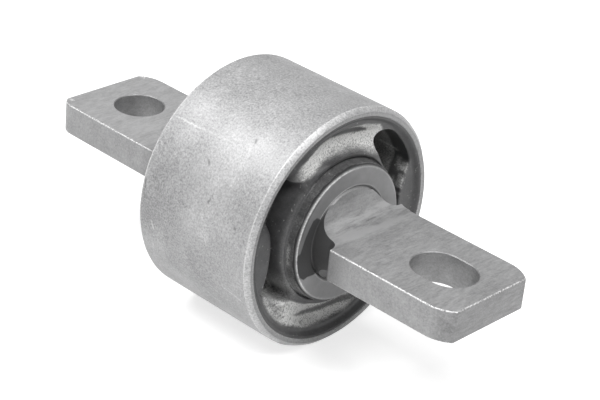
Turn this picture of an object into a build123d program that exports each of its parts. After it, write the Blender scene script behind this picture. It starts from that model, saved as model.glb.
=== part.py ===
from build123d import *
import os
from math import cos, radians, sin, sqrt

# Rubber metal bush with a bar pin.
#
# A rubber body is moulded between a chamfered outer sleeve and a short inner
# sleeve. A bar pin with a round middle is pressed into the inner sleeve. Its two
# ends are forged flat: one ear has a round bolt hole, the other a slot that
# takes up tolerance along the pin.
#
# Frame: the origin is the middle of the outer sleeve, +X runs along the sleeve's
# axis towards the slotted ear, and +Z is square to the flat ears.

# Outer sleeve
SLEEVE_D = 62.0
SLEEVE_WALL = 2.25
SLEEVE_LENGTH = 38.0
SLEEVE_CHAMFER = 1.1
SLEEVE_BORE_EDGE = 0.25

# Inner sleeve
RING_D = 35.2
RING_LENGTH = 42.5
RING_RIM_CHAMFER = 0.5
RING_BORE_CHAMFER = 0.6

# Bar pin
BARREL_D = 24.0
BARREL_CHAMFER = 0.5
EAR_WIDTH = 29.7
EAR_THICKNESS = 8.2
EAR_CORNER = (9.3, 45.0)       # radius and angle turned, at three of the four corners
TIGHT_CORNER = (5.0, 60.0)     # the far ear's corner on the -Y side
EAR_EDGE_R = 0.45
TIP_CORNER_R = 0.8
EAR_END_MARGIN = 14.2
ROOT_R = 5.6
NECK_FILLET_R = 3.0
SHOULDER_X = {-1: 29.0, 1: 24.5}  # the ear's full width starts nearer the sleeve on +Y
HOLE_D = 13.0
HOLE_EDGE = 0.2
SLOT_LENGTH = 16.9
SLOT_X = 51.0
HOLE_X = -53.7

# Rubber body
LINER_RECESS = 1.4
LIP_WALL = 0.45
LIP_RECESS = 0.3
COLLAR_HEIGHT = 18.5
COLLAR_CREST_R = (19.0, 19.9)
COLLAR_FOOT_R = (18.2, 20.8)
COLLAR_VALLEY = 17.2
COLLAR_ROUND = 0.35
VOID_R = 23.4
VOID_MOUTH_WIDTH = 7.0
VOID_HALF_ANGLE = {-1: 29.0, 1: 49.5}
VOID_TAPER = 1.5
BUMP_TIP_Y = 22.1
BUMP_FACE_R = 26.6
BUMP_WIDTH = 19.4
BUMP_CORNER_R = 1.5
CHANNEL_R = 22.9
CHANNEL_ROUND_R = 3.2
CHANNEL_CENTRE_X = 18.2
CHANNEL_HALF_ANGLE = 21.0

# Worked out from the above
SLEEVE_R = SLEEVE_D / 2
SLEEVE_BORE_R = SLEEVE_R - SLEEVE_WALL
RING_R = RING_D / 2
BARREL_R = BARREL_D / 2
END_X = SLEEVE_LENGTH / 2
RING_END_X = RING_LENGTH / 2
EAR_HALF_T = EAR_THICKNESS / 2
EAR_HALF_W = EAR_WIDTH / 2
LINER_END_X = END_X - LINER_RECESS

SECTION = Plane.XY  # half sections are drawn with x along the axis and y as the radius
ACROSS = Plane.YZ   # cross sections are drawn square to the axis, seen from +X


def turned(outline):
    """Revolve a closed half section, given as (x, radius) points, about the axis."""
    return revolve(make_face(Polyline(*outline, close=True)), Axis.X)


def both_ends(solid):
    """The solid together with its mirror image on the other end of the bush."""
    return solid + mirror(solid, Plane.YZ)


def outer_sleeve():
    """Drawn tube, chamfered outside at both ends so that it presses in easily."""
    c, e = SLEEVE_CHAMFER, SLEEVE_BORE_EDGE
    return turned([
        (-END_X, SLEEVE_BORE_R + e), (-END_X, SLEEVE_R - c), (-END_X + c, SLEEVE_R),
        (END_X - c, SLEEVE_R), (END_X, SLEEVE_R - c), (END_X, SLEEVE_BORE_R + e),
        (END_X - e, SLEEVE_BORE_R), (-END_X + e, SLEEVE_BORE_R),
    ])


def inner_sleeve():
    """Thick short tube that stands proud of the rubber at both ends."""
    x, rim, bore = RING_END_X, RING_RIM_CHAMFER, RING_BORE_CHAMFER
    return turned([
        (-x, BARREL_R + bore), (-x, RING_R - rim), (-x + rim, RING_R),
        (x - rim, RING_R), (x, RING_R - rim), (x, BARREL_R + bore),
        (x - bore, BARREL_R), (-x + bore, BARREL_R),
    ])


def rubber_blank():
    """Rubber between the sleeves before its openings: a raised collar round the
    inner sleeve, a flat end face and a thin lip up the wall of the outer sleeve."""
    foot_in, foot_out = COLLAR_FOOT_R
    crest_in, crest_out = COLLAR_CREST_R
    lip_x = END_X - LIP_RECESS
    lip_r = SLEEVE_BORE_R - LIP_WALL
    end = FilletPolyline(
        (COLLAR_VALLEY, RING_R), (COLLAR_VALLEY, foot_in), (COLLAR_HEIGHT, crest_in),
        (COLLAR_HEIGHT, crest_out), (LINER_END_X, foot_out), (LINER_END_X, lip_r - LIP_WALL),
        (lip_x, lip_r), (lip_x, SLEEVE_BORE_R), radius=[COLLAR_ROUND] * 5 + [0.1],
    )
    start, finish = end @ 0, end @ 1
    rest = Polyline(finish, (0, SLEEVE_BORE_R), (0, RING_R), start)
    half = revolve(make_face(end + rest), Axis.X)
    return both_ends(half)


def bump_stop():
    """Section of the bump stop, which bulges inwards from the outer sleeve."""
    bulge = Pos(BUMP_TIP_Y + BUMP_FACE_R, 0) * Circle(BUMP_FACE_R)
    limit = Pos(BUMP_TIP_Y + VOID_MOUTH_WIDTH, 0) * Rectangle(2 * VOID_MOUTH_WIDTH, BUMP_WIDTH)
    section = bulge & limit
    return fillet(section.vertices().group_by(Axis.X)[0], BUMP_CORNER_R)


def void_section(side):
    """Kidney opening beside the inner sleeve, pinched by a rounded bump stop."""
    a = VOID_HALF_ANGLE[side]
    spine = CenterArc((0, 0), VOID_R, -a, 2 * a)
    section = SlotArc(spine, VOID_MOUTH_WIDTH) - bump_stop()
    return section if side > 0 else mirror(section, Plane.YZ)


def void(side):
    """Opening right through the rubber, drafted both ways from the middle."""
    mouth = ACROSS * void_section(side)
    half = extrude(Pos(END_X, 0, 0) * mouth, -END_X, taper=VOID_TAPER)
    return both_ends(half)


def channel(side):
    """Rounded groove across the front of a rubber leg, with ball shaped ends."""
    a = CHANNEL_HALF_ANGLE
    bend = revolve(Pos(CHANNEL_CENTRE_X, CHANNEL_R) * Circle(CHANNEL_ROUND_R), Axis.X, revolution_arc=2 * a)
    bend = Rot(side * 90 - a, 0, 0) * bend
    balls = [
        Pos(CHANNEL_CENTRE_X, CHANNEL_R * sin(radians(t)), side * CHANNEL_R * cos(radians(t)))
        * Sphere(CHANNEL_ROUND_R)
        for t in (-a, a)
    ]
    return both_ends(bend + balls)


def rubber_body():
    """One moulding: liner, bump stops, collar and the two legs that carry it."""
    body = rubber_blank() - void(1) - void(-1)
    return body - channel(1) - channel(-1)


def ear_side(end_x, side, corner):
    """Edge of an ear on one side, from its shoulder round the corner to the tip."""
    radius, degrees = corner
    turn = radians(degrees)
    start_x = end_x - radius * sin(turn)
    points = [(start_x + radius * sin(t), side * (EAR_HALF_W - radius * (1 - cos(t))))
              for t in (0, turn / 2, turn)]
    edge = Line((SHOULDER_X[side], side * EAR_HALF_W), points[0])
    return edge + ThreePointArc(*points)


def ear_blank(end_x, corners):
    """Flat end of the pin seen from above, from its shoulders out to the tip, with
    its top and bottom rims rounded."""
    sides = [ear_side(end_x, side, corners[side]) for side in (-1, 1)]
    tips = [max(edge.vertices(), key=lambda v: v.X) for edge in sides]
    ends = Line(tuple(tips[0]), tuple(tips[1]))
    back = Polyline((SHOULDER_X[-1], -EAR_HALF_W), (SHOULDER_X[-1], 0), (SHOULDER_X[1], 0),
                    (SHOULDER_X[1], EAR_HALF_W))
    plate = extrude(make_face(sides[0] + sides[1] + ends + back), EAR_HALF_T, both=True)
    tip_edges = [e for e in plate.edges() if abs(e.center().X - end_x) < 1e-3 and abs(e.center().Z) < 1e-3]
    plate = fillet(tip_edges, TIP_CORNER_R)
    rims = [e for e in plate.edges()
            if abs(e.center().Z) > EAR_HALF_T / 2 and e.center().X > SHOULDER_X[-1] + NECK_FILLET_R]
    return fillet(rims, EAR_EDGE_R)


def neck_flare(side):
    """Solid of revolution that widens from the round middle into one shoulder."""
    x0, x1, r = RING_END_X, SHOULDER_X[side], BARREL_R
    arc_x = x1 - NECK_FILLET_R
    arc_r = r + NECK_FILLET_R
    bend = NECK_FILLET_R * sqrt(0.5)
    outline = Polyline((x0, 0), (x0, r), (arc_x, r))
    outline += ThreePointArc((arc_x, r), (arc_x + bend, arc_r - bend), (x1, arc_r))
    outline += Polyline((x1, arc_r), (x1, EAR_WIDTH), (x1 + ROOT_R, EAR_WIDTH), (x1 + ROOT_R, 0), (x0, 0))
    return revolve(make_face(outline), Axis.X)


def ear_root(side):
    """Neck between the round middle and one side of an ear: hollowed above and below
    with the root radius, and flared at the side into the shoulder of the ear."""
    x0 = RING_END_X
    end = max(x0 + ROOT_R + EAR_EDGE_R, SHOULDER_X[side])
    root_z = EAR_HALF_T + ROOT_R
    bend = ROOT_R * sqrt(0.5)
    outline = Polyline((x0, 0), (x0, root_z))
    outline += ThreePointArc((x0, root_z), (x0 + ROOT_R - bend, root_z - bend), (x0 + ROOT_R, EAR_HALF_T))
    outline += Polyline((x0 + ROOT_R, EAR_HALF_T), (end, EAR_HALF_T), (end, 0), (x0, 0))
    upper = extrude(Plane.XZ * make_face(outline), -side * EAR_HALF_W)
    return neck_flare(side) & (upper + mirror(upper, Plane.XY))


def ear(end_x, corners, opening):
    """One forged end of the pin, on +X, with its bolt opening and broken edges."""
    bolt_way = extrude(opening, EAR_HALF_T, both=True)
    mouths = [Pos(0, 0, z) * opening for z in (EAR_HALF_T, -EAR_HALF_T)]
    plate = ear_blank(end_x, corners) - bolt_way
    for mouth, sign in zip(mouths, (1, -1)):
        edge = loft([offset(mouth, HOLE_EDGE), Pos(0, 0, -sign * HOLE_EDGE) * mouth])
        plate = plate - edge
    return ear_root(-1) + ear_root(1) + plate


def bar_pin():
    """Round bar with forged flat ends, one with a slot and one with a round hole."""
    slot = Pos(SLOT_X, 0) * SlotOverall(SLOT_LENGTH, HOLE_D)
    hole = Pos(-HOLE_X, 0) * Circle(HOLE_D / 2)
    x, c = RING_END_X, BARREL_CHAMFER
    barrel = turned([(-x, 0), (-x, BARREL_R - c), (-x + c, BARREL_R),
                     (x - c, BARREL_R), (x, BARREL_R - c), (x, 0)])
    near = ear(SLOT_X + EAR_END_MARGIN, {-1: EAR_CORNER, 1: EAR_CORNER}, slot)
    far = mirror(ear(-HOLE_X + EAR_END_MARGIN, {-1: TIGHT_CORNER, 1: EAR_CORNER}, hole), Plane.YZ)
    return barrel + near + far


os.makedirs("parts", exist_ok=True)
PIECES = {
    "outer_sleeve": outer_sleeve,
    "rubber_body": rubber_body,
    "inner_sleeve": inner_sleeve,
    "bar_pin": bar_pin,
}
for name, make in PIECES.items():
    export_step(make(), f"parts/{name}.step")
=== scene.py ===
import math

import bmesh
import bpy
import numpy as np
from mathutils import Matrix, Vector, geometry


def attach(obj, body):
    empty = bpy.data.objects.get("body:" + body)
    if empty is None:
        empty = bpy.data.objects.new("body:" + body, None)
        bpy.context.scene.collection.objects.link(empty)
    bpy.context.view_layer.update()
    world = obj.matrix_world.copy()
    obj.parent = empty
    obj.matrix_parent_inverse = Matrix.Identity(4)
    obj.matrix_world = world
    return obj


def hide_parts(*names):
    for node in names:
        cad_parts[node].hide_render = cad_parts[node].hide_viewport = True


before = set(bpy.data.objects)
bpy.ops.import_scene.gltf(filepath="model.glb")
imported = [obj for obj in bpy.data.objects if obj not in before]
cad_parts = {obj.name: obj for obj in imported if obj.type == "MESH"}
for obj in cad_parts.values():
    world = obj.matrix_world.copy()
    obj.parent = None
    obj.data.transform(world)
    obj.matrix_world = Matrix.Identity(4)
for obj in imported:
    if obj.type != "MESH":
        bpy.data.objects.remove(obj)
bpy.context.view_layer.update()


# ------------------------------------------------------------------ outer sleeve
# Drawn steel tube, chamfered outside at both ends so that it presses into its eye. Blasted and
# phosphated: a mottled matt grey, brighter on its edges with a painted highlight and wear.
MM = 0.001  # shapes are worked out in millimetres, and the scene is in metres
SLEEVE_R = 31.0
SLEEVE_BORE_R = 28.75
SLEEVE_HALF_L = 19.0
SLEEVE_CHAMFER = 1.1
SLEEVE_BORE_EDGE = 0.25
SLEEVE_GREY_DARK = (0.2, 0.2, 0.203, 1)
SLEEVE_GREY_LIGHT = (0.56, 0.56, 0.565, 1)
SLEEVE_EDGE_GREY = (0.75, 0.75, 0.75, 1)
SLEEVE_NICK_GREY = (0.1, 0.1, 0.1, 1)
# Painted highlight and painted shade in broad clouds: x and degrees of the middle, and how much
# paler (above 0, the key light's sheen) or darker (below 0, the shaded lower side) it is there
SLEEVE_PAINTED_LIGHT = [(3, 146, 0.27), (-12, 180, -0.24), (5, 202, -0.17)]
PAINTED_LIGHT_HALF_L = 9
PAINTED_LIGHT_HALF_TURN = 17
# Scratches: x and degrees where it starts, x and degrees where it ends, half width, and how pale
# (above 0) or dark (below 0) it is. The first two rows are a painted highlight: a pale line along
# the wall where the sheen begins
SLEEVE_SCRATCHES_AND_SHEEN_LINE = [
    (-16.6, 135.2, -8.7, 134.9, 0.14, 0.75), (-8.7, 134.9, 2.0, 133.6, 0.25, 0.3),
    (3.4, 149.9, 3.4, 153.4, 0.16, 0.9), (7.7, 146.6, 7.7, 150.4, 0.16, 0.9),
    (3.0, 162.4, 3.9, 157.6, 0.13, -0.55), (3.2, 161.6, 3.5, 160.6, 0.22, -0.6),
    (-17.4, 166.0, -17.0, 170.0, 0.2, -0.8), (-17.3, 171.0, -16.6, 174.5, 0.14, -0.6),
    (7.0, 128.0, 7.3, 129.2, 0.3, -0.6), (-1.3, 145.6, -0.8, 146.8, 0.3, -0.6),
    (13.0, 165.8, 13.2, 166.3, 0.22, -0.9), (10.3, 197.7, 16.1, 200.0, 0.16, 0.6),
    (-13.8, 184.0, -13.0, 187.5, 0.2, 0.8), (2.7, 87.6, 3.4, 86.6, 0.2, -0.6),
    (4.0, 201.0, 12.0, 207.0, 0.13, 0.5), (-2.0, 198.0, 5.5, 204.5, 0.12, 0.4)]


def grid_quads(rows, columns, closed_rows=False):
    """Faces of a grid stored row by row: (i, j), (i, j+1), (i+1, j+1), (i+1, j), with
    the columns closed into a ring, and the rows too where closed_rows is set."""
    i = np.arange(rows if closed_rows else rows - 1)[:, None]
    j = np.arange(columns)[None, :]
    k = (j + 1) % columns
    n = (i + 1) % rows
    quads = [i * columns + j, i * columns + k, n * columns + k, n * columns + j]
    return np.stack(np.broadcast_arrays(*quads), axis=-1).reshape(-1, 4)


def rounded_outline(points, radii, steps=6):
    """Closed outline whose corner k is an arc of radius radii[k]: the arc starts and
    ends at the tangent points and its angle runs evenly between them."""
    corners = np.array(points, float)
    to_prev = np.roll(corners, 1, axis=0) - corners
    to_next = np.roll(corners, -1, axis=0) - corners
    to_prev /= np.linalg.norm(to_prev, axis=1)[:, None]
    to_next /= np.linalg.norm(to_next, axis=1)[:, None]
    half = np.arccos(np.clip((to_prev * to_next).sum(1), -1, 1)) / 2
    r = np.array(radii, float)
    middle = to_prev + to_next
    middle /= np.linalg.norm(middle, axis=1)[:, None]
    centre = corners + middle * (r / np.sin(half))[:, None]
    start = corners + to_prev * (r / np.tan(half))[:, None] - centre
    end = corners + to_next * (r / np.tan(half))[:, None] - centre
    t = np.linspace(0, 1, steps)[None, :, None]
    sweep = (math.pi - 2 * half)[:, None, None]
    arc = np.sin((1 - t) * sweep) * start[:, None] + np.sin(t * sweep) * end[:, None]
    return (centre[:, None] + arc / np.sin(sweep)).reshape(-1, 2)


def ripple(a, b, seed, waves=9):
    """Smooth irregular value between about -1 and 1: a sum of sine waves of random
    direction and phase over the coordinates a and b."""
    rng = np.random.default_rng(seed)
    ka, kb = rng.normal(0, 1, (2, waves))
    phase = rng.uniform(0, 2 * math.pi, waves)
    wave = np.sin(a[..., None] * ka + b[..., None] * kb + phase)
    return wave.sum(-1) / waves ** 0.5 / 1.2


def full_turn(columns):
    """Evenly spaced angles once round, from 0."""
    return np.arange(columns) * 2 * math.pi / columns


def revolved(along, radius, turn):
    """Rows of points (x, r cos t, r sin t): a profile turned about the x axis."""
    rows = np.broadcast_arrays(along, radius * np.cos(turn), radius * np.sin(turn))
    return np.stack(rows, axis=-1).reshape(-1, 3)


def bell(distance, half_width):
    """Bell curve exp(-(distance / half width)^2): 1 at no distance, near 0 at twice the
    half width."""
    return np.exp(-(distance / half_width) ** 2)


def make_piece(name, points_mm, face_arrays, smooth_angle=40):
    """Mesh object at the origin from points in millimetres and arrays of faces, doubles
    merged, faces turned outwards and shaded smooth up to the given angle."""
    mesh = bpy.data.meshes.new(name)
    faces = sum([part.tolist() for part in face_arrays], [])
    mesh.from_pydata((points_mm * MM).tolist(), [], faces)
    work = bmesh.new()
    work.from_mesh(mesh)
    bmesh.ops.remove_doubles(work, verts=work.verts, dist=2e-7)
    bmesh.ops.recalc_face_normals(work, faces=work.faces)
    work.to_mesh(mesh)
    work.free()
    mesh.shade_smooth()
    mesh.set_sharp_from_angle(angle=math.radians(smooth_angle))
    piece = bpy.data.objects.new(name, mesh)
    bpy.context.scene.collection.objects.link(piece)
    return piece


def points_of(piece):
    """Vertex positions of a piece in millimetres, as an array of x, y and z rows."""
    flat = np.empty(len(piece.data.vertices) * 3)
    piece.data.vertices.foreach_get("co", flat)
    return flat.reshape(-1, 3).T / MM


def store(piece, name, values):
    """Keep one number from 0 to 1 per vertex under that name, for the piece's material
    to read."""
    layer = piece.data.attributes.new(name, "FLOAT", "POINT")
    layer.data.foreach_set("value", np.clip(values, 0, 1).astype(np.float32))


def smoothstep(value, low, high):
    """0 below low, 1 above high, 3t^2 - 2t^3 between; low may be the larger one."""
    t = np.clip((value - low) / (high - low), 0, 1)
    return t * t * (3 - 2 * t)


def sleeve_surface(columns=600, circles=116, clear=0.35):
    """Closed wall profile (x, r) turned about the x axis, with extra circles along the
    outside, clear of its ends; the line where the chamfer starts wanders a little along
    the rim."""
    x, c, e = SLEEVE_HALF_L, SLEEVE_CHAMFER, SLEEVE_BORE_EDGE
    corner = rounded_outline(
        [(-x, SLEEVE_BORE_R + e), (-x, SLEEVE_R - c), (-x + c, SLEEVE_R), (x - c, SLEEVE_R),
         (x, SLEEVE_R - c), (x, SLEEVE_BORE_R + e), (x - e, SLEEVE_BORE_R),
         (-x + e, SLEEVE_BORE_R)],
        [0.08, 0.22, 0.3, 0.3, 0.22, 0.08, 0.08, 0.08], steps=4)
    wall = np.linspace(-x + c + clear, x - c - clear, circles)
    wall = np.stack([wall, np.full_like(wall, SLEEVE_R)], 1)
    profile = np.concatenate([corner[:12], wall, corner[12:]])
    turn = full_turn(columns)
    along, radius = profile[:, :1], profile[:, 1:]
    near_start = bell(np.abs(along) - (x - c), 0.25) * (radius > SLEEVE_R - 0.5)
    wander = 0.09 * ripple(9 * np.cos(turn), 9 * np.sin(turn), seed=4)
    wander = wander + 0.06 * ripple(31 * np.cos(turn), 31 * np.sin(turn), seed=5)
    along = along + np.sign(along) * near_start * wander
    return revolved(along, radius, turn), [grid_quads(len(profile), columns, closed_rows=True)]


def scratched(x, degrees, radius, scratches):
    """Sum over straight scratches on the unrolled wall: each adds its paleness times a
    bell curve of the distance to it, so 0 is unmarked."""
    total = np.zeros_like(x)
    for x0, turn0, x1, turn1, half_width, paleness in scratches:
        around = np.radians((degrees - turn0 + 180) % 360 - 180) * radius
        dx, da = x1 - x0, math.radians(turn1 - turn0) * radius
        t = np.clip(((x - x0) * dx + around * da) / (dx * dx + da * da), 0, 1)
        away = np.hypot(x - x0 - t * dx, around - t * da)
        total += paleness * bell(away, half_width)
    return total


def stray_nicks(count, seed):
    """Short random nicks all over the wall, pale and dark, in the form that scratched
    takes."""
    rng = np.random.default_rng(seed)
    x, turn = rng.uniform(-17, 17, count), rng.uniform(0, 360, count)
    dx, da = rng.normal(0, 0.5, count), rng.normal(0, 1.0, count)
    paleness = rng.choice([-0.6, 0.7], count) * rng.uniform(0.3, 1, count)
    half_width = rng.uniform(0.1, 0.2, count)
    return np.stack([x, turn, x + dx, turn + da, half_width, paleness], 1).tolist()


def new_group(name, inputs, outputs):
    """Empty shader node group with float or vector inputs and float outputs."""
    group = bpy.data.node_groups.new(name, "ShaderNodeTree")
    for label, default in inputs.items():
        kind = "NodeSocketVector" if default is None else "NodeSocketFloat"
        socket = group.interface.new_socket(label, in_out="INPUT", socket_type=kind)
        if default is not None:
            socket.default_value = default
    for label in outputs:
        group.interface.new_socket(label, in_out="OUTPUT", socket_type="NodeSocketFloat")
    given = group.nodes.new("NodeGroupInput").outputs
    out = group.nodes.new("NodeGroupOutput").inputs
    return group, given, out


def node(tree, kind, links=None, **settings):
    """Add a node, set its properties, and set or link its inputs by name or number."""
    made = tree.nodes.new(kind)
    for key, value in settings.items():
        setattr(made, key, value)
    for key, value in (links or {}).items():
        if isinstance(value, bpy.types.NodeSocket):
            tree.links.new(value, made.inputs[key])
        else:
            made.inputs[key].default_value = value
    return made


def maths(tree, operation, a, b=0.5, c=0.5, clamp=False):
    """Output of a Math node on numbers or sockets."""
    made = node(tree, "ShaderNodeMath", {0: a, 1: b, 2: c}, operation=operation, use_clamp=clamp)
    return made.outputs[0]


def blend(tree, factor, dark, light):
    """Output of a colour Mix node between two colours or sockets."""
    mixer = node(tree, "ShaderNodeMix", {"Factor": factor}, data_type="RGBA")
    for label, value in (("A", dark), ("B", light)):
        socket = next(s for s in mixer.inputs if s.name == label and s.type == "RGBA")
        if isinstance(value, bpy.types.NodeSocket):
            tree.links.new(value, socket)
        else:
            socket.default_value = value
    return next(s for s in mixer.outputs if s.type == "RGBA")


def new_material(name, **numbers):
    """Node material with a Principled shader whose uniform numbers are set on it."""
    made = bpy.data.materials.new(name)
    made.use_nodes = True
    shader = made.node_tree.nodes["Principled BSDF"]
    for label, value in numbers.items():
        shader.inputs[label.replace("_", " ")].default_value = value
    return made, made.node_tree, shader


def mottle_group():
    """Broad clouds and fine grain: Shade is 0.5 plus each noise about its middle times
    its amount, and Grain is the fine noise by itself."""
    group, given, out = new_group(
        "mottle", {"Vector": None, "Cloud Scale": 100, "Grain Scale": 2000, "Cloud Amount": 0.5,
                   "Grain Amount": 0.5}, ["Shade", "Grain"])
    cloud = node(group, "ShaderNodeTexNoise",
                 {"Vector": given["Vector"], "Scale": given["Cloud Scale"], "Detail": 5,
                  "Roughness": 0.62})
    grain = node(group, "ShaderNodeTexNoise",
                 {"Vector": given["Vector"], "Scale": given["Grain Scale"], "Detail": 2,
                  "Roughness": 0.7})
    broad = maths(group, "SUBTRACT", cloud.outputs[0], 0.5)
    broad = maths(group, "MULTIPLY", broad, given["Cloud Amount"])
    fine = maths(group, "SUBTRACT", grain.outputs[0], 0.5)
    fine = maths(group, "MULTIPLY", fine, given["Grain Amount"])
    shade = maths(group, "ADD", maths(group, "ADD", broad, fine), 0.5, clamp=True)
    group.links.new(shade, out["Shade"])
    group.links.new(grain.outputs[0], out["Grain"])
    return group


MOTTLE = mottle_group()


def mottle(tree, cloud_scale, grain_scale, cloud_amount, grain_amount, vector=None):
    """Shade and Grain of the mottle group placed in a material, on Object coordinates or
    on the given ones."""
    placed = node(tree, "ShaderNodeGroup", node_tree=MOTTLE)
    place = vector or node(tree, "ShaderNodeTexCoord").outputs["Object"]
    tree.links.new(place, placed.inputs["Vector"])
    numbers = zip(("Cloud Scale", "Grain Scale", "Cloud Amount", "Grain Amount"),
                  (cloud_scale, grain_scale, cloud_amount, grain_amount))
    for label, value in numbers:
        placed.inputs[label].default_value = value
    return placed.outputs["Shade"], placed.outputs["Grain"]


def bump(tree, shader, height, distance_mm, strength=1.0):
    """Bump the shader's normal by a height of 0 to 1 over the given depth in mm."""
    made = node(tree, "ShaderNodeBump",
                {"Height": height, "Distance": distance_mm * MM, "Strength": strength})
    tree.links.new(made.outputs[0], shader.inputs["Normal"])


def attribute(tree, name):
    """Number kept per vertex under that name, as a socket."""
    return node(tree, "ShaderNodeAttribute", attribute_name=name).outputs["Fac"]


def blasted_steel():
    """Clouded grey with coarse and fine grain, pale hair lines in patches, and a painted
    highlight and painted shade in broad clouds, kept in an attribute where 0.5 is none; the edges
    show bright with a painted highlight and wear, pale nicks show bright metal, and the end faces
    and dark nicks are darker."""
    made, tree, shader = new_material("blasted_steel", Metallic=0.4, Roughness=0.5)
    shade, grain = mottle(tree, 110, 2100, cloud_amount=0.65, grain_amount=1.6)
    place = node(tree, "ShaderNodeTexCoord").outputs["Object"]
    wisps = node(tree, "ShaderNodeTexNoise",
                 {"Vector": place, "Scale": 330, "Detail": 3, "Distortion": 1.2})
    hair = maths(tree, "ABSOLUTE", maths(tree, "SUBTRACT", wisps.outputs[0], 0.5))
    hair = maths(tree, "MULTIPLY_ADD", hair, -30, 1.0, clamp=True)
    patches, _ = mottle(tree, 60, 900, cloud_amount=3.5, grain_amount=0.6)
    patches = maths(tree, "MULTIPLY_ADD", patches, 0.65, -0.28, clamp=True)
    hair = maths(tree, "MULTIPLY", hair, patches)
    painted_sheen_and_shade = maths(tree, "SUBTRACT", attribute(tree, "painted_sheen_and_shade"), 0.5)
    shade = maths(tree, "ADD", shade, painted_sheen_and_shade, clamp=True)
    grey = blend(tree, shade, SLEEVE_GREY_DARK, SLEEVE_GREY_LIGHT)
    grey = blend(tree, hair, grey, SLEEVE_EDGE_GREY)
    patchy = maths(tree, "MULTIPLY", attribute(tree, "highlight_and_wear"),
                   maths(tree, "MULTIPLY_ADD", grain, 2.0, -0.4, clamp=True))
    grey = blend(tree, patchy, grey, SLEEVE_EDGE_GREY)
    grey = blend(tree, attribute(tree, "dark"), grey, SLEEVE_NICK_GREY)
    tree.links.new(grey, shader.inputs["Base Color"])
    rough = maths(tree, "MULTIPLY_ADD", grain, 0.4, 0.3)
    tree.links.new(rough, shader.inputs["Roughness"])
    bump(tree, shader, shade, 0.04, 0.6)
    return made


sleeve = make_piece("sleeve_tube", *sleeve_surface())
sleeve_x, sleeve_y, sleeve_z = points_of(sleeve)
sleeve_r = np.hypot(sleeve_y, sleeve_z)
from_start = np.hypot(np.abs(sleeve_x) - (SLEEVE_HALF_L - SLEEVE_CHAMFER), sleeve_r - SLEEVE_R)
from_rim = np.hypot(np.abs(sleeve_x) - SLEEVE_HALF_L, sleeve_r - (SLEEVE_R - SLEEVE_CHAMFER))
from_bore = np.hypot(np.abs(sleeve_x) - SLEEVE_HALF_L,
                     sleeve_r - SLEEVE_BORE_R - SLEEVE_BORE_EDGE)
sleeve_turn = np.degrees(np.arctan2(sleeve_z, sleeve_y)) % 360
# Painted highlight where the key light's sheen falls, and painted shade on the lower side
painted_sheen_and_shade = sum(amount * bell(np.hypot((sleeve_x - x) / PAINTED_LIGHT_HALF_L,
                                  (sleeve_turn - turn) / PAINTED_LIGHT_HALF_TURN), 1)
           for x, turn, amount in SLEEVE_PAINTED_LIGHT)
store(sleeve, "painted_sheen_and_shade", 0.5 + painted_sheen_and_shade)
nicks = scratched(sleeve_x, sleeve_turn, SLEEVE_R, SLEEVE_SCRATCHES_AND_SHEEN_LINE + stray_nicks(110, seed=21))
nicks = nicks * (sleeve_r > SLEEVE_R - 0.1)
end_face = (np.abs(sleeve_x) > SLEEVE_HALF_L - 0.02) * (sleeve_r < SLEEVE_R - SLEEVE_CHAMFER)
# Painted highlight along the rounded edges, where the chamfer starts, on the rim and at the bore;
# the pale nicks are wear
edges = bell(from_start, 0.17) + 0.25 * bell(from_rim, 0.14) + 0.5 * bell(from_bore, 0.14)
store(sleeve, "highlight_and_wear", edges + np.clip(nicks, 0, 1))
store(sleeve, "dark", np.clip(-nicks, 0, 1) + 0.45 * end_face)
sleeve.data.materials.append(blasted_steel())
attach(sleeve, "root")
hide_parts("outer_sleeve")


# ------------------------------------------------------------------- rubber body
# One moulding bonded between the sleeves: two legs carry the inner sleeve, with a kidney opening
# and a bump stop on each side of it. A collar hugs the inner sleeve, a hollow runs across each
# leg's face, and a pale bloom has come out in places. The same pale grey is a painted highlight
# on crests and edges, and painted light in the shaded openings and corners.
RING_R = 17.6
RUBBER_BLACK = (0.035, 0.035, 0.036, 1)
RUBBER_GREY = (0.085, 0.085, 0.087, 1)
PALE_GREY_BLOOM_AND_LIGHT = (0.7, 0.7, 0.69, 1)
# Forms of the face from the middle outwards: torn skin, groove, the collar's crest, the
# valley beside it, the hollow across each leg and the lip. The lump of flash (y, z) lies
# at the end of the -y opening.
SKIN_R = 17.9
SKIN_X = 20.4
GROOVE_R = 18.25
CREST_R = 18.2
CREST_LEG_SHIFT = 1.2
CREST_X = 18.5
CREST_ROUND = 1.6
VALLEY_X = 17.2
FACE_X = 17.6
HOLLOW_R = 22.9
HOLLOW_X = 18.2
HOLLOW_ROUND = 3.2
HOLLOW_FADE = math.radians(38)
LIP_R = 27.6
LIP_X = 18.7
FLASH_YZ = (-17.0, -14.8)
# Openings: kidney shapes about VOID_R whose ends are given as turns from the y axis, with
# a draft, and a bump stop in each. The -y one is shorter and slants at its lower end.
VOID_R = 23.4
VOID_HALF_WIDTH = 3.5
VOID_TURN = math.radians(49.5)
VOID_UPPER_TURN = math.radians(53)
SHORT_VOID_LOWER_TURN = math.radians(-43)
SHORT_VOID_UPPER_TURN = math.radians(48)
SHORT_VOID_END_TURN = math.radians(44)
SHORT_VOID_CORNER = (17.4, -14.2)
VOID_DRAFT = math.tan(math.radians(1.5))
BUMP_TIP_Y = 22.1
BUMP_FACE_R = 26.6
BUMP_HALF_WIDTH = 9.7
# Radii of the circles of points on the face: close together at the torn skin and the
# groove, and again where the lip climbs the sleeve's wall
FACE_CIRCLES = np.concatenate([
    [RING_R, 17.74, 17.84, 17.9, 17.96, 18.03], np.arange(18.12, 19, 0.13),
    np.arange(19, LIP_R, 0.26), [27.75, 27.9, 28.05, 28.2, 28.35, 28.5, 28.62, SLEEVE_BORE_R]])
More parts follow.
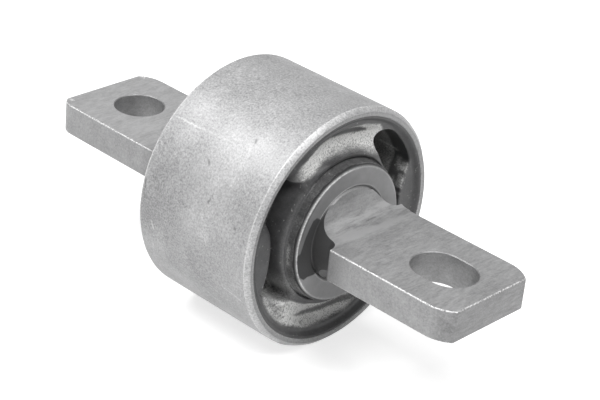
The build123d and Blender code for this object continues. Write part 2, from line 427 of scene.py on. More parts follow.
# The circles' points keep the first distance from an opening's edge, or the second on
# the lip, and rows of points follow the edge at the other distances
CLEAR_OF_EDGE = 1.3
LIP_CLEAR_OF_EDGE = 0.3
EDGE_ROWS = (0.04, 0.12, 0.25, 0.42, 0.62, 0.85, 1.1)
# Bloom on the lower leg: radii of its two crests, paler with a painted highlight, and torn specks
# (y, z) in it
CREST_HIGHLIGHT_R = (20.6, 24.8)
TORN_SPECKS = np.array([
    (-18.8, -16.6), (-17.1, -18.4), (-15.2, -21.6), (-13.1, -20.9), (-10.6, -22.8),
    (-8.4, -23.9), (-19.6, -14.6), (-15.9, -19.2), (-12.0, -23.2), (-20.9, -13.9)])
# Middle of the painted light that lifts the shaded corner of the -y opening
CORNER_LIGHT_YZ = (-16.5, -11.5)
# Where the parting line shows on the torn skin, in x and degrees
PARTING_X = 19.1
PARTING_TURN = 184
# The openings' walls lie between these two, and the faces beyond them
WALL_FRONT_X = 12.5
WALL_BACK_X = -14
# Pale marks on the wall of the long opening, in the form that scratched takes
VOID_MARKS = [(8.5, 29.0, 13.7, 27.0, 0.4, 0.35), (14.3, 22.5, 15.6, 19.0, 0.6, 0.3),
              (14.5, 13.0, 15.3, 9.5, 0.6, 0.25), (10.5, 25.5, 12.5, 24.5, 0.35, 0.25)]
# Outlines (y, z) of the pale bloom on the legs, with painted highlight, and of the valley in it,
# left dark as painted shade
LOWER_BLOOM_AND_SHEEN = np.array([
    (-23.5, -10.4), (-19.7, -12.4), (-17.2, -14.4), (-15.0, -15.0), (-11.7, -16.8),
    (-8.5, -18.4), (-5.2, -19.4), (-2.8, -19.8), (2.7, -20.5), (6.0, -20.5), (12.0, -19.2),
    (13.0, -22.4), (6.6, -25.1), (0.7, -25.8), (-3.2, -25.7), (-6.8, -25.2), (-9.2, -24.4),
    (-12.4, -22.9), (-15.6, -21.5), (-17.7, -19.8), (-20.7, -16.5), (-23.2, -12.5)])
LOWER_VALLEY_SHADE = np.array([
    (-11.8, -20.3), (-8.6, -21.0), (-6.3, -21.7), (-2.7, -22.5), (0.8, -22.8), (4.4, -22.8),
    (9.0, -22.0), (14.0, -19.8), (14.2, -21.9), (9.2, -23.9), (4.5, -24.3), (0.8, -24.3),
    (-2.8, -23.9), (-6.5, -23.0), (-9.9, -21.6)])
UPPER_BLOOM_AND_SHEEN = np.array([
    (-18.6, 17.0), (-15.1, 20.4), (-11.1, 21.7), (-7.1, 22.7), (-3.0, 23.4), (1.2, 23.2),
    (5.6, 22.7), (8.2, 22.8), (8.6, 23.4), (6.2, 24.5), (0.9, 25.1), (0.9, 25.5),
    (6.2, 25.5), (11.6, 24.0), (13.3, 21.5), (12.0, 19.8), (13.0, 17.6), (14.6, 15.2),
    (9.1, 17.3), (5.3, 19.2), (1.8, 19.8), (-2.5, 19.8), (-6.7, 19.3), (-10.6, 17.4),
    (-14.6, 15.6), (-17.6, 14.6)])


def bump_face(z):
    """Distance y at height z of a bump stop's face: an arc of BUMP_FACE_R about a centre
    on the y axis, BUMP_TIP_Y away where it is nearest to the pin."""
    return BUMP_TIP_Y + BUMP_FACE_R - np.sqrt(np.clip(BUMP_FACE_R ** 2 - z ** 2, 0, None))


def void_outline(side, count=300):
    """Closed outline (y, z) of an opening. On the +y side it runs along the inner arc to
    a squarish upper end, and back by the outer arc, the bump stop, the outer arc again
    and a round lower end. On the -y side its upper end is square and its lower end
    slants from the bump stop to the inner arc. It is evenly spaced, then averaged over
    a few neighbours, which rounds its corners."""
    inner, outer = VOID_R - VOID_HALF_WIDTH, VOID_R + VOID_HALF_WIDTH
    root = math.asin(BUMP_HALF_WIDTH / outer)

    def arc(centre, radius, start, end, steps=80):
        t = np.linspace(start, end, steps)
        return np.stack([centre[0] + radius * np.cos(t), centre[1] + radius * np.sin(t)], 1)

    z = np.linspace(BUMP_HALF_WIDTH, -BUMP_HALF_WIDTH, 60)
    face = np.stack([bump_face(z), z], 1)
    if side > 0:
        # The round lower end's centre, and two short arcs that square the upper end
        tip = np.array([math.cos(VOID_TURN), -math.sin(VOID_TURN)]) * VOID_R
        square_end = arc((0, 0), inner + 2.2, VOID_UPPER_TURN + 0.14, VOID_UPPER_TURN + 0.17, 4)
        square_corner = arc((0, 0), outer - 1.3, VOID_UPPER_TURN + 0.14, VOID_UPPER_TURN + 0.1, 4)
        line = [arc((0, 0), inner, -VOID_TURN, VOID_UPPER_TURN), square_end, square_corner,
                arc((0, 0), outer, VOID_UPPER_TURN, root), face,
                arc((0, 0), outer, -root, -VOID_TURN),
                arc(tip, VOID_HALF_WIDTH, -VOID_TURN + 2 * math.pi, -VOID_TURN + math.pi)]
        soften = 9
    else:
        corner = np.array([SHORT_VOID_CORNER])
        root_corner = np.array([(outer * math.cos(root), BUMP_HALF_WIDTH)])
        line = [arc((0, 0), inner, SHORT_VOID_LOWER_TURN, SHORT_VOID_UPPER_TURN),
                arc((0, 0), outer, SHORT_VOID_END_TURN, root), face, root_corner * (1, -1),
                corner]
        soften = 8
    line = np.concatenate(line + [line[0][:1]])
    run = np.concatenate([[0], np.cumsum(np.linalg.norm(np.diff(line, axis=0), axis=1))])
    even = np.linspace(0, run[-1], count, endpoint=False)
    ring = np.stack([np.interp(even, run, line[:, 0]), np.interp(even, run, line[:, 1])], 1)
    shifts = range(-soften, soften + 1)
    weights = [math.exp(-2.5 * (s / soften) ** 2) for s in shifts]
    ring = sum(w * np.roll(ring, s, axis=0) for s, w in zip(shifts, weights)) / sum(weights)
    return ring * (side, 1)


def away_from(line, y, z):
    """Distance from each point to the nearest segment of a closed line, and whether
    the point lies inside it, by counting the crossings of a ray along y."""
    a, b = line, np.roll(line, -1, axis=0)
    step = b - a
    py, pz = y[:, None], z[:, None]
    t = ((py - a[:, 0]) * step[:, 0] + (pz - a[:, 1]) * step[:, 1]) / (step ** 2).sum(1)
    t = np.clip(t, 0, 1)
    gap = np.hypot(py - a[:, 0] - t * step[:, 0], pz - a[:, 1] - t * step[:, 1]).min(1)
    spans = (a[:, 1] > pz) != (b[:, 1] > pz)
    rise = np.where(step[:, 1] == 0, 1e-9, step[:, 1])
    crossing = a[:, 0] + (pz - a[:, 1]) / rise * step[:, 0]
    return gap, (spans & (py < crossing)).sum(1) % 2 == 1


def soft_max(a, b, width):
    """Larger of a and b, with the corner between them rounded over the width."""
    t = np.clip(0.5 + (a - b) / (2 * width), 0, 1)
    return b + (a - b) * t + width * t * (1 - t)


def face_height(y, z, gap):
    """Height x of the rubber's front face. A round ridge (the collar) stands on a flat
    face, a torus that fades out with the angle from the legs' middle is sunk in each
    leg, and a lip climbs the sleeve's wall. A thin torn skin climbs the inner sleeve's
    wall, with a groove at its foot, and a lump of flash is left. Beside an opening, gap
    away, the face falls in a quarter ellipse: long and deep down the collar's flank,
    broad on the upper leg of the -y side, and small elsewhere."""
    r = np.hypot(y, z)
    from_leg = np.abs(np.abs(np.arctan2(z, y)) - math.pi / 2)
    over_leg = smoothstep(from_leg, math.radians(50), math.radians(28))
    crest_r = CREST_R + CREST_LEG_SHIFT * over_leg
    ridge = np.sqrt(np.clip(CREST_ROUND ** 2 - (r - crest_r) ** 2, 0, None))
    ridge = soft_max(CREST_X - CREST_ROUND + ridge, np.full_like(r, VALLEY_X), 0.25)
    flat = np.where(r > crest_r, FACE_X, VALLEY_X)
    height = soft_max(ridge, flat, 0.3)
    inside = np.clip(HOLLOW_ROUND ** 2 - (r - HOLLOW_R) ** 2, 0, None)
    deep = smoothstep(from_leg, HOLLOW_FADE, math.radians(8))
    hollow = np.where(inside > 0, HOLLOW_X - np.sqrt(inside), HOLLOW_X + 1)
    height = height + (-soft_max(-height, -hollow, 0.6) - height) * deep
    height = height + (LIP_X - FACE_X) * smoothstep(r, 27.0, 28.55)
    torn = smoothstep(r, 20, 22) * smoothstep(r, 27.4, 25) * (y < 0) * (z < -8)
    height = height + 0.12 * ripple(1.6 * y, 1.6 * z, seed=8) * torn
    height = height - 0.3 * bell(r - GROOVE_R, 0.15)
    skin = SKIN_X + 0.22 * ripple(0.9 * y, 0.9 * z, seed=5)
    height = height + (skin - height) * smoothstep(r, SKIN_R + 0.12, SKIN_R - 0.06)
    height = height + 1.1 * bell(np.hypot((y - FLASH_YZ[0]) / 1.3, (z - FLASH_YZ[1]) / 0.7), 1)
    off_leg = np.where(y > 0, smoothstep(from_leg, math.radians(33), math.radians(50)), 1)
    flank = smoothstep(r, 22.3, 20.5) * off_leg
    soft = (y < 0) * smoothstep(z, 4, 11) * (1 - flank)
    width = 0.5 + 1.3 * flank + 2.3 * soft
    depth = 0.45 + 4.0 * flank + 2.6 * soft
    near = 1 - np.clip(gap / width, 0, 1)
    return height - depth * (1 - np.sqrt(1 - near ** 2))


def rubber_surface(columns=480, wall_rows=22):
    """Front face: points on circles and on lines that follow the openings, joined by
    constrained Delaunay triangles and lifted to face_height. Opening walls run from its
    edge to the middle and draw in by the draft, and so do the walls on both sleeves,
    without a draft. The back is the front's mirror."""
    turn = full_turn(columns)
    field = revolved(0, FACE_CIRCLES[:, None], turn)[:, 1:]
    outlines, normals, beside = [], [], []
    for side in (1, -1):
        outline = void_outline(side)
        tangent = np.roll(outline, -1, axis=0) - np.roll(outline, 1, axis=0)
        outward = np.stack([-tangent[:, 1], tangent[:, 0]], 1)
        outward /= np.linalg.norm(tangent, axis=1)[:, None]
        probe = outline + 0.1 * outward
        outward *= np.where(away_from(outline, *probe.T)[1], -1, 1)[:, None]
        gap, within = away_from(outline, *field.T)
        clear = np.where(np.hypot(*field.T) > LIP_R, LIP_CLEAR_OF_EDGE, CLEAR_OF_EDGE)
        field = field[(gap > clear) & ~within]
        for step in EDGE_ROWS:
            row = outline + step * outward
            beside.append(row[away_from(outline, *row.T)[0] > 0.9 * step])
        outlines.append(outline)
        normals.append(outward)
    beside = np.concatenate(beside)
    beside = beside[(np.hypot(*beside.T) < LIP_R) & (np.hypot(*beside.T) > RING_R + 0.1)]
    count = len(outlines[0])
    ring = np.arange(count)
    edges = np.stack([ring, (ring + 1) % count], 1)
    edges = np.concatenate([edges, edges + count])
    flat = np.concatenate(outlines + [beside, field])
    made = geometry.delaunay_2d_cdt(flat.tolist(), edges.tolist(), [], 0, 1e-6)
    flat = np.array(made[0])
    faces = np.array(made[2])
    middle = flat[faces].mean(1)
    inner = np.hypot(*middle.T) < RING_R - 0.001
    open_part = away_from(outlines[0], *middle.T)[1] | away_from(outlines[1], *middle.T)[1]
    faces = faces[~inner & ~open_part]
    gap = np.minimum(away_from(outlines[0], *flat.T)[0], away_from(outlines[1], *flat.T)[0])
    front = np.stack([face_height(*flat.T, gap), *flat.T], 1)
    points, parts = [front], [faces]
    total = len(front)
    levels = np.linspace(0, 1, wall_rows)[:, None]
    for edge, normal in zip(outlines, normals):
        mouth = face_height(*edge.T, np.zeros(count))
        x = mouth * (1 - levels)
        draw = -(mouth - x) * VOID_DRAFT
        wall = [x, edge[:, 0] + draw * normal[:, 0], edge[:, 1] + draw * normal[:, 1]]
        points.append(np.stack(wall, -1).reshape(-1, 3))
        parts.append(grid_quads(wall_rows, count) + total)
        total += len(points[-1])
    for radius in (RING_R, SLEEVE_BORE_R):
        brim = face_height(radius * np.cos(turn), radius * np.sin(turn), np.full(columns, 9))
        points.append(revolved(brim * np.array([[1], [0]]), np.full((2, 1), radius), turn))
        parts.append(grid_quads(2, columns) + total)
        total += len(points[-1])
    half = np.concatenate(points)
    back = [part[:, ::-1] + total for part in parts]
    return np.concatenate([half, half * (-1, 1, 1)]), parts + back


def patch(outline, y, z, soft=0.35):
    """1 inside a closed outline and 0 outside, easing over the given distance."""
    gap, within = away_from(outline, y, z)
    return smoothstep(np.where(within, gap, -gap), -soft, soft)


def moulded_rubber():
    """Satin black with a fine grain; where the attribute for bloom and painted light is high a
    pale grey covers it, speckled at its borders, and stray pale specks lie all over. The pale
    grey is bloom in places, a painted highlight on crests and edges, and painted light in shaded
    openings and corners."""
    made, tree, shader = new_material("moulded_rubber", Specular_IOR_Level=0.5)
    shade, grain = mottle(tree, 260, 2600, 1.6, 0.8)
    black = blend(tree, shade, RUBBER_BLACK, RUBBER_GREY)
    pale_cover = maths(tree, "MULTIPLY", attribute(tree, "bloom_and_painted_light"),
                 maths(tree, "MULTIPLY_ADD", grain, 4.0, -1.0))
    place = node(tree, "ShaderNodeTexCoord").outputs["Object"]
    specks = node(tree, "ShaderNodeTexNoise", {"Vector": place, "Scale": 1400, "Detail": 1})
    specks = maths(tree, "MULTIPLY_ADD", specks.outputs[0], 7.0, -4.9, clamp=True)
    amount = maths(tree, "MULTIPLY_ADD", specks, 0.4, pale_cover, clamp=True)
    tree.links.new(blend(tree, amount, black, PALE_GREY_BLOOM_AND_LIGHT), shader.inputs["Base Color"])
    tree.links.new(maths(tree, "MULTIPLY_ADD", amount, 0.35, 0.42), shader.inputs["Roughness"])
    bump(tree, shader, grain, 0.03, 0.5)
    return made


rubber = make_piece("rubber_moulding", *rubber_surface(), smooth_angle=70)
rubber_x, rubber_y, rubber_z = points_of(rubber)
rubber_r = np.hypot(rubber_y, rubber_z)
rubber_turn = np.degrees(np.arctan2(rubber_z, rubber_y)) % 360
streaks = ripple(rubber_r * 3.2, rubber_turn * 0.11, 3)
# Lower leg: bloom with a painted highlight on its crests, dimmer towards -y, streaks, painted
# shade in its valley, and torn specks
lower = patch(LOWER_BLOOM_AND_SHEEN, rubber_y, rubber_z, 0.5)
lower = lower * (1 - 0.95 * patch(LOWER_VALLEY_SHADE, rubber_y, rubber_z, 0.5))
crest_highlight = bell(rubber_r - CREST_HIGHLIGHT_R[0], 0.7) + 0.9 * bell(rubber_r - CREST_HIGHLIGHT_R[1], 0.9)
crest_highlight = smoothstep(rubber_y, -19, -13) * (0.46 + 0.8 * crest_highlight)
lower = lower * (0.4 + crest_highlight + 0.14 * streaks)
off_speck = np.hypot(rubber_y[:, None] - TORN_SPECKS[:, 0],
                     2 * (rubber_z[:, None] - TORN_SPECKS[:, 1])).min(1)
lower = lower * (1 - 0.75 * smoothstep(off_speck, 0.9, 0.35))
# Upper leg: bloom and a painted highlight, dense on its outer half, thinner towards the collar
# and at its -y end
upper = patch(UPPER_BLOOM_AND_SHEEN, rubber_y, rubber_z, 0.45) * smoothstep(rubber_y, -17.2, -11)
upper = upper * (0.42 + 0.68 * smoothstep(rubber_r, 19.8, 22.2) + 0.06 * streaks)
# The flash, the collar, the torn skin with its parting line, and painted light in the opening's
# shaded corner
flash = bell(np.hypot((rubber_y - FLASH_YZ[0]) / 1.2, (rubber_z - FLASH_YZ[1]) / 0.6), 1)
on_skin = rubber_r < SKIN_R + 0.08
collar_dust = 0.03 * smoothstep(rubber_r, 19.2, 18.9) * (1 - bell(rubber_r - GROOVE_R, 0.14))
collar_dust = collar_dust + 0.03 * on_skin * (1 + ripple(rubber_y * 2, rubber_z * 2, 9))
parting = bell(rubber_x - PARTING_X, 0.5) * on_skin
parting = parting * smoothstep(np.abs(rubber_turn - PARTING_TURN), 12, 5)
corner_light = 0.22 * bell(np.hypot(rubber_y - CORNER_LIGHT_YZ[0],
                                   rubber_z - CORNER_LIGHT_YZ[1]), 3.4641)
# The +y bump stop's upper edge with a painted highlight, and marks on that opening's wall
edge_highlight = 0.55 * bell(rubber_y - bump_face(rubber_z), 0.5) * smoothstep(rubber_x, 15.4, 17.0)
edge_highlight = edge_highlight * smoothstep(rubber_z, 1, 3.5) * smoothstep(rubber_z, 11, 9)
edge_highlight = edge_highlight * np.clip(0.6 + ripple(rubber_y * 2, rubber_z * 2, 6), 0, 1)
in_void = scratched(rubber_x, rubber_turn, VOID_R + VOID_HALF_WIDTH, VOID_MARKS)
in_void = in_void * (rubber_r > 22) * (rubber_y > 0)
# Painted light on the openings' walls, standing in for light scattered into them
walls = 0.32 + 0.06 * ripple(rubber_y, rubber_x * 0.4, 12) + corner_light
front = lower + upper + collar_dust + corner_light + edge_highlight + 0.4 * parting + 0.6 * flash
bloom_and_painted_light = np.where(rubber_x > WALL_BACK_X, walls, 0.1)
bloom_and_painted_light = np.where(rubber_x > WALL_FRONT_X, front, bloom_and_painted_light) + in_void
store(rubber, "bloom_and_painted_light", bloom_and_painted_light)
rubber.data.materials.append(moulded_rubber())
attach(rubber, "root")
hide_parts("rubber_body")


# ------------------------------------------------------------------ inner sleeve
# Thick short steel tube in the middle of the rubber, faced at its ends, which stand proud of the
# rubber. A dark patch lies on one side of its face.
RING_HALF_L = 21.25
RING_BORE_R = 12.0
RING_RIM = 0.5
RING_BORE_EDGE = 0.55
RING_GREY_DARK = (0.15, 0.15, 0.152, 1)
RING_GREY_LIGHT = (0.28, 0.28, 0.283, 1)
RING_EDGE_GREY = (0.8, 0.8, 0.8, 1)
RING_DARK_GREY = (0.055, 0.055, 0.056, 1)
# Outline (y, z) of the dark patch on the near face, and the radius of a thin dark line near the
# rim
DARK_PATCH_OUTLINE = np.array([
    (-12.7, 7.5), (-11.6, 7.9), (-10.0, 6.9), (-9.0, 4.0), (-5.3, -5.5), (-5.2, -10.7),
    (-6.6, -10.1), (-8.1, -8.8), (-9.1, -7.6), (-9.8, -7.3), (-10.6, -7.6), (-11.3, -7.6),
    (-12.9, -7.5), (-14.0, -7.9), (-15.4, -6.9), (-16.3, -5.2), (-17.0, -2.0), (-17.0, -0.3),
    (-16.1, -0.2), (-15.6, 1.3), (-14.8, 3.7), (-13.7, 5.9)])
DARK_LINE_R = 16.55
# Degrees of the middle of each stretch of the rims brightened by a painted highlight and wear,
# and of the dark line
RIM_HIGHLIGHT_TURN = 158
BORE_HIGHLIGHT_TURN = 125
DARK_LINE_TURN = 150


def ring_surface(columns=400):
    """Closed wall profile (x, r) turned about the x axis, with extra circles across the end faces
    so that the dark patch's edge is crisp."""
    x, rim, bore = RING_HALF_L, RING_RIM, RING_BORE_EDGE
    across = np.arange(16.9, 12.7, -0.2)
    face = np.stack([np.full_like(across, x), across], 1)
    back = face[::-1] * (-1, 1)
    corner = rounded_outline(
        [(-x, RING_BORE_R + bore), (-x, RING_R - rim), (-x + rim, RING_R), (x - rim, RING_R),
         (x, RING_R - rim), (x, RING_BORE_R + bore), (x - bore, RING_BORE_R),
         (-x + bore, RING_BORE_R)],
        [0.1, 0.12, 0.15, 0.15, 0.12, 0.1, 0.1, 0.1])
    profile = np.concatenate([corner[:6], back, corner[6:30], face, corner[30:]])
    points = revolved(profile[:, :1], profile[:, 1:], full_turn(columns))
    return points, [grid_quads(len(profile), columns, closed_rows=True)]


def faced_steel():
    """Even dull grey; a dark patch darkens it, and its rims show bright with a painted highlight
    and wear.
    """
    made, tree, shader = new_material("faced_steel", Metallic=0.3, Roughness=0.5)
    shade, grain = mottle(tree, 300, 2500, 0.9, 0.35)
    grey = blend(tree, shade, RING_GREY_DARK, RING_GREY_LIGHT)
    lit_and_worn = maths(tree, "MULTIPLY", attribute(tree, "highlight_and_wear"),
                 maths(tree, "MULTIPLY_ADD", grain, 2.2, -0.25))
    bright = blend(tree, maths(tree, "MULTIPLY", lit_and_worn, 1.0, clamp=True), grey, RING_EDGE_GREY)
    dark_mark = blend(tree, attribute(tree, "darkened"), bright, RING_DARK_GREY)
    tree.links.new(dark_mark, shader.inputs["Base Color"])
    rough = maths(tree, "MULTIPLY_ADD", grain, 0.2, 0.4)
    rough = maths(tree, "MULTIPLY_ADD", attribute(tree, "darkened"), 0.35, rough, clamp=True)
    tree.links.new(rough, shader.inputs["Roughness"])
    bump(tree, shader, grain, 0.015, 0.4)
    return made


ring = make_piece("inner_tube", *ring_surface(), smooth_angle=30)
ring_x, ring_y, ring_z = points_of(ring)
ring_r = np.hypot(ring_y, ring_z)
ring_turn = np.degrees(np.arctan2(ring_z, ring_y)) % 360
from_corner = np.hypot(np.abs(ring_x) - RING_HALF_L, ring_r - (RING_R - 0.4))
from_bore = np.hypot(np.abs(ring_x) - RING_HALF_L, ring_r - (RING_BORE_R + 0.5))
# Painted highlight with wear on the rims, strongest on the side that faces the key light
rim_lit_and_worn = 0.3 + 0.7 * smoothstep(np.abs(ring_turn - RIM_HIGHLIGHT_TURN), 78, 50)
ring_bend = np.cos(np.radians(ring_turn)), np.sin(np.radians(ring_turn))
rim_width = 0.24 + 0.08 * ripple(7 * ring_bend[0], 7 * ring_bend[1], 17)
rim_width = rim_width + 0.06 * ripple(40 * ring_bend[0], 40 * ring_bend[1], 18)
bore_lit_and_worn = 0.25 + 0.75 * smoothstep(np.abs(ring_turn - BORE_HIGHLIGHT_TURN), 40, 20)
store(ring, "highlight_and_wear", rim_lit_and_worn * bell(from_corner, rim_width) + bore_lit_and_worn * bell(from_bore, 0.16))
# A dark patch on the near face, a thin dark line near the rim, and the whole outer wall darkened
darkened = patch(DARK_PATCH_OUTLINE, ring_y, ring_z, 0.12) * (ring_x > 20)
dark_line = bell(ring_r - DARK_LINE_R, 0.16) * (ring_x > 21)
dark_line = dark_line * smoothstep(np.abs(ring_turn - DARK_LINE_TURN), 22, 14)
store(ring, "darkened", np.maximum(np.maximum(darkened, 0.7 * dark_line), ring_r > RING_R - 0.05))
ring.data.materials.append(faced_steel())
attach(ring, "root")
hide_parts("inner_sleeve")


# ----------------------------------------------------------------------- bar pin
# Steel bar with a round middle that is pressed into the inner sleeve, and two forged
# flat ends, one slotted and one with a round bolt hole. Its flats are brushed.
PIN_GREY_DARK = (0.18, 0.18, 0.182, 1)
PIN_GREY_LIGHT = (0.44, 0.44, 0.443, 1)
PIN_EDGE_GREY = (0.85, 0.85, 0.85, 1)
PIN_SHADE_GREY = (0.085, 0.085, 0.086, 1)
NECK_END_X = 29.0
EAR_ROOT_X = 27.5
TIP_X = 62.5
TIP_CORNER_Y = 12.2
SIDE_Y = 11.8
HOLE_HALF_WIDTH = 7.2


def ramp(tree, value, low, high, unit=1.0):
    """0 below low, 1 above high and straight between, both in the given unit; low may be
    the larger one."""
    made = node(tree, "ShaderNodeMapRange",
                {"Value": value, "From Min": low * unit, "From Max": high * unit})
    return made.outputs["Result"]


def brushed_steel():
    """Mid grey with slanting brush marks, a painted highlight in a smeared band across the root
    of each ear, and a painted highlight with wear in patches along its rims and tip corners. The
    far ear's top is paler with a painted sheen, and the tips' faces and the holes' walls are
    darker with painted shade. Painted shade lies on one side of the neck, and thins out along the
    ear."""
    made, tree, shader = new_material("brushed_steel", Metallic=0.4, Roughness=0.45)
    place = node(tree, "ShaderNodeTexCoord").outputs["Object"]
    turned = node(tree, "ShaderNodeMapping",
                  {"Vector": place, "Rotation": (0, 0, math.radians(48)), "Scale": (1, 0.22, 1)})
    strokes, grain = mottle(tree, 300, 1500, 1.1, 1.6, turned.outputs[0])
    clouds, speck = mottle(tree, 110, 2300, 1.0, 1.5)
    mixed = maths(tree, "MULTIPLY_ADD", clouds, 0.45, maths(tree, "MULTIPLY", strokes, 0.55),
                  clamp=True)
    x, y, z = node(tree, "ShaderNodeSeparateXYZ", {0: place}).outputs
    along, across = maths(tree, "ABSOLUTE", x), maths(tree, "ABSOLUTE", y)
    normal = node(tree, "ShaderNodeNewGeometry").outputs["Normal"]
    facing = node(tree, "ShaderNodeSeparateXYZ", {0: normal})

    # Painted highlight in a smeared band on the upward faces across each ear's root
    cross = node(tree, "ShaderNodeMapping", {"Vector": place, "Scale": (1, 0.15, 1)})
    smears, _ = mottle(tree, 300, 1500, 2.6, 0.8, cross.outputs[0])
    root_highlight = maths(tree, "MULTIPLY", ramp(tree, along, 21.5, 23.5, MM),
                 ramp(tree, along, 31.5, 28.0, MM))
    root_highlight = maths(tree, "MULTIPLY", root_highlight, maths(tree, "GREATER_THAN", facing.outputs["Z"], 0.3))
    smears = maths(tree, "MULTIPLY_ADD", smears, 1.5, -0.35)
    mixed = maths(tree, "MULTIPLY_ADD", root_highlight, smears, mixed, clamp=True)
    upright = maths(tree, "MULTIPLY", facing.outputs["Z"], facing.outputs["Z"])
    # Painted sheen on the far ear's top
    far_top_sheen = maths(tree, "MULTIPLY", ramp(tree, x, -25, -35, MM), ramp(tree, upright, 0.9, 0.98))
    mixed = maths(tree, "MULTIPLY_ADD", far_top_sheen, 0.3, mixed, clamp=True)
    # Painted shade on the tips' faces that do not face up
    tip_face_shade = maths(tree, "MULTIPLY", ramp(tree, x, 60, 63.5, MM), ramp(tree, upright, 0.5, 0.2))
    mixed = maths(tree, "MULTIPLY_ADD", tip_face_shade, -0.22, mixed, clamp=True)
    grey = blend(tree, mixed, PIN_GREY_DARK, PIN_GREY_LIGHT)

    # Painted highlight with wear along the ears' outer rounded rims and tip corners, broken into
    # patches
    rim = maths(tree, "MULTIPLY", upright, maths(tree, "SUBTRACT", 1.0, upright))
    rim = maths(tree, "MULTIPLY", rim, 4.0, clamp=True)
    outside = maths(tree, "MAXIMUM", maths(tree, "GREATER_THAN", across, SIDE_Y * MM),
                    maths(tree, "GREATER_THAN", along, TIP_X * MM))
    rim = maths(tree, "MULTIPLY", maths(tree, "MULTIPLY", rim, outside),
                maths(tree, "GREATER_THAN", along, EAR_ROOT_X * MM))
    off_corner = maths(tree, "ABSOLUTE", maths(tree, "SUBTRACT", across, TIP_CORNER_Y * MM))
    corner = maths(tree, "MULTIPLY", ramp(tree, off_corner, 0.55, 0.2, MM),
                   maths(tree, "GREATER_THAN", along, 65.5 * MM))
    lit_and_worn = maths(tree, "MULTIPLY", maths(tree, "MAXIMUM", rim, corner),
                 maths(tree, "MULTIPLY_ADD", speck, 4.0, -1.5, clamp=True))
    grey = blend(tree, lit_and_worn, grey, PIN_EDGE_GREY)

    # Painted shade on the holes' walls
    hole_shade = maths(tree, "MULTIPLY", maths(tree, "LESS_THAN", across, HOLE_HALF_WIDTH * MM),
                    maths(tree, "GREATER_THAN", along, 40 * MM))
    hole_shade = maths(tree, "MULTIPLY", hole_shade, ramp(tree, upright, 0.98, 0.9))
    hole_shade = maths(tree, "MULTIPLY", hole_shade, maths(tree, "LESS_THAN", along, TIP_X * MM))
    # Painted shade on the ear's top beside the -y shoulder, thinning out along the ear in brush
    # strokes
    to_neck = maths(tree, "MULTIPLY", ramp(tree, along, 36, 29, MM),
                    ramp(tree, y, -8.5, -12.5, MM))
    hole_shade = maths(tree, "MULTIPLY", hole_shade, 0.22)
    dark_mark = maths(tree, "MULTIPLY_ADD", strokes, 0.8, -0.05)
    dark_mark = maths(tree, "MULTIPLY", to_neck, dark_mark)
    shaded = maths(tree, "MAXIMUM", hole_shade, dark_mark, clamp=True)
    grey = blend(tree, shaded, grey, PIN_SHADE_GREY)

    # Painted shade on the near neck's side that faces -y and on its under side
    aside = maths(tree, "MAXIMUM", ramp(tree, facing.outputs["Y"], -0.35, -0.6),
                  maths(tree, "LESS_THAN", z, -2 * MM))
    darkened = maths(tree, "MULTIPLY", aside,
                 ramp(tree, along, NECK_END_X + 0.4, NECK_END_X - 0.4, MM))
    shade_side = maths(tree, "MULTIPLY", maths(tree, "GREATER_THAN", x, 0.0),
                      ramp(tree, y, 2, -4, MM))
    darkened = maths(tree, "MULTIPLY", darkened, shade_side)
    tree.links.new(blend(tree, darkened, grey, PIN_SHADE_GREY), shader.inputs["Base Color"])
    tree.links.new(maths(tree, "MULTIPLY_ADD", grain, 0.3, 0.33), shader.inputs["Roughness"])
    bump(tree, shader, strokes, 0.03, 0.5)
    return made


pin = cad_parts["bar_pin"]
pin.data.materials.clear()
pin.data.materials.append(brushed_steel())


# ------------------------------------------------------------- floor and lighting
# Pale floor under the sleeve, the part's lowest point, and soft studio lights. Lengths
# here are in metres.
FLOOR_Z = -SLEEVE_R * MM
FLOOR_HALF = 8
FLOOR_WHITE = (0.62, 0.62, 0.62, 1)
FLOOR_GLOW = 0.66
SKY_LIGHT = 0.38
# The camera's place, and the axis that it is turned back about, whose length is the
# angle in radians
CAMERA_PLACE = (0.27816, -0.30550, 0.21840)
CAMERA_TURN = (-1.0592, -0.3445, -0.7451)


def seen_directly(tree):
    """1 for rays from the camera, by reflection or through glass, and 0 for others."""
    path = node(tree, "ShaderNodeLightPath").outputs
    seen = maths(tree, "MAXIMUM", path["Is Camera Ray"], path["Is Glossy Ray"])
    return maths(tree, "MAXIMUM", seen, path["Is Transmission Ray"])


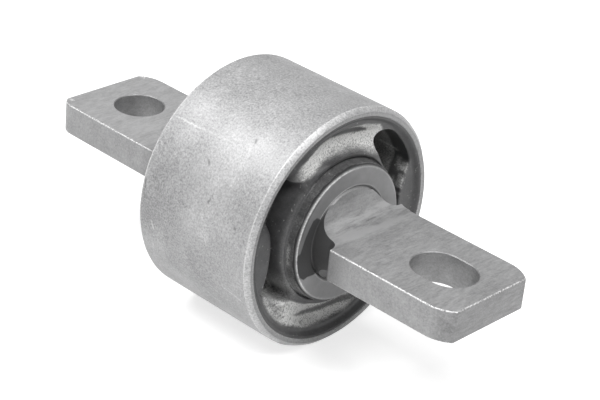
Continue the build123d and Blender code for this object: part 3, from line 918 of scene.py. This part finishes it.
floor_mesh = bpy.data.meshes.new("floor")
floor_mesh.from_pydata([(-FLOOR_HALF, -FLOOR_HALF, FLOOR_Z), (FLOOR_HALF, -FLOOR_HALF, FLOOR_Z),
                        (FLOOR_HALF, FLOOR_HALF, FLOOR_Z), (-FLOOR_HALF, FLOOR_HALF, FLOOR_Z)],
                       [], [(0, 1, 2, 3)])
floor = bpy.data.objects.new("floor", floor_mesh)
bpy.context.scene.collection.objects.link(floor)
floor_paint, floor_tree, floor_shader = new_material(
    "floor_paint", Roughness=0.9, Base_Color=FLOOR_WHITE, Emission_Color=(1, 1, 1, 1))
floor_tree.links.new(maths(floor_tree, "MULTIPLY", seen_directly(floor_tree), FLOOR_GLOW),
                     floor_shader.inputs["Emission Strength"])
floor_mesh.materials.append(floor_paint)

world = bpy.data.worlds.new("studio")
bpy.context.scene.world = world
world.use_nodes = True
sky = world.node_tree.nodes["Background"]
camera_ray = node(world.node_tree, "ShaderNodeLightPath").outputs["Is Camera Ray"]
sky.inputs["Color"].default_value = (1, 1, 1, 1)
sky_strength = maths(world.node_tree, "MULTIPLY_ADD", camera_ray, 1 - SKY_LIGHT, SKY_LIGHT)
world.node_tree.links.new(sky_strength, sky.inputs["Strength"])


def soft_light(name, place, size, watts):
    """Square area light at a place in metres that faces the part's middle."""
    lamp = bpy.data.lights.new(name, "AREA")
    lamp.size = size
    lamp.energy = watts
    made = bpy.data.objects.new(name, lamp)
    made.location = place
    made.rotation_euler = Vector(place).to_track_quat("Z", "Y").to_euler()
    bpy.context.scene.collection.objects.link(made)


soft_light("key_light", (-0.43, -0.54, 1.02), 0.5, 10.8)
soft_light("front_light", (0.5, -0.1, 0.9), 0.5, 7.5)

camera_data = bpy.data.cameras.new("camera")
camera_data.sensor_width = 36.0
camera_data.lens = 115.08
camera_data.clip_start = 0.01
camera = bpy.data.objects.new("camera", camera_data)
camera.matrix_world = (Matrix.Translation(CAMERA_PLACE)
                       @ Matrix.Rotation(-math.hypot(*CAMERA_TURN), 4, CAMERA_TURN))
bpy.context.scene.collection.objects.link(camera)
bpy.context.scene.camera = camera
bpy.context.scene.view_settings.view_transform = "Standard"

bpy.context.view_layer.update()
